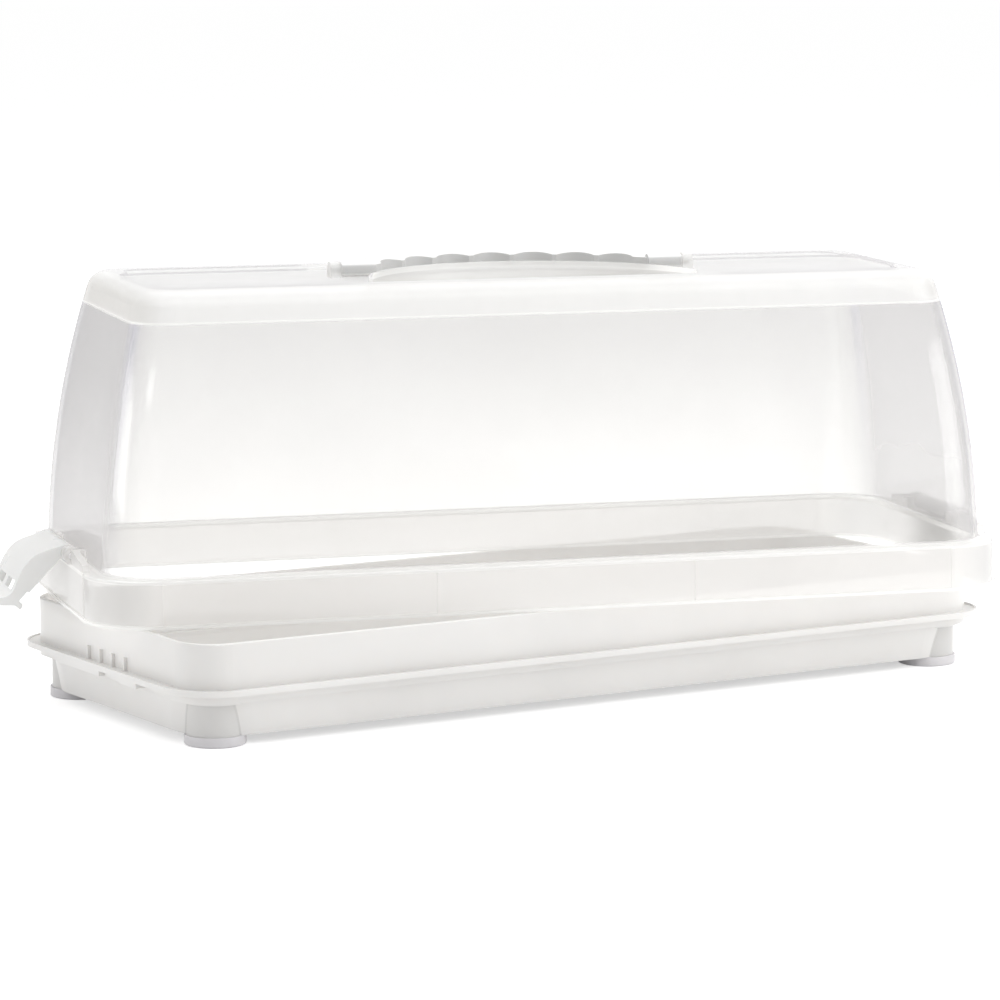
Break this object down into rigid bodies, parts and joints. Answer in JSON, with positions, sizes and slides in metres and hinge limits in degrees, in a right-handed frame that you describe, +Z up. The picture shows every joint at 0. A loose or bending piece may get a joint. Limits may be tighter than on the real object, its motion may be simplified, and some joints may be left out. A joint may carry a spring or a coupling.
{
  "type": "loaf cake carrier",
  "caption": "Long loaf-cake carrier: a white tray on round feet under a clear hood lid with a frosted top, a fold-flat scalloped carry handle and a snap latch at each end.",
  "frame": {"origin": "on the floor under the middle of the tray", "axes": "+Z up, +X along the tray towards its right end, +Y towards its back; the loose lid stands turned 14.7 degrees clockwise about Z, seen from above"},
  "size_m": [0.4376, 0.2468, 0.1813],
  "materials": {
    "tray_white": "white polypropylene, slightly translucent",
    "foot_white": "white soft plastic",
    "hood_clear": "clear, frosted on top",
    "fittings_white": "white, satin",
    "pin_white": "white, satin"
  },
  "bodies": {
    "tray": {"base_tray": "tray_white", "front_left_foot": "foot_white", "front_right_foot": "foot_white", "back_left_foot": "foot_white", "back_right_foot": "foot_white"},
    "lid": {"lid_hood": "hood_clear", "handle_pin_left": "pin_white", "handle_pin_right": "pin_white", "left_latch_pin": "pin_white", "right_latch_pin": "pin_white"},
    "handle": {"handle": "fittings_white"},
    "left_latch": {"left_latch": "fittings_white"},
    "right_latch": {"right_latch": "fittings_white"}
  },
  "joints": [
    {"name": "lid_lift", "type": "slide", "parent": "tray", "child": "lid", "axis": [0, 0, 1], "range_m": [0, 0.18]},
    {"name": "handle_fold", "type": "hinge", "parent": "lid", "child": "handle", "pos_m": [0, 0, 0.1779], "axis": [0.9673, -0.2538, 0], "range_deg": [0, 90]},
    {"name": "left_latch_hinge", "type": "hinge", "parent": "lid", "child": "left_latch", "pos_m": [-0.18958, 0.04974, 0.0658], "axis": [0.2538, 0.9673, 0], "range_deg": [-27, 77]},
    {"name": "right_latch_hinge", "type": "hinge", "parent": "lid", "child": "right_latch", "pos_m": [0.18958, -0.04974, 0.0658], "axis": [-0.2538, -0.9673, 0], "range_deg": [0, 104]}
  ]
}
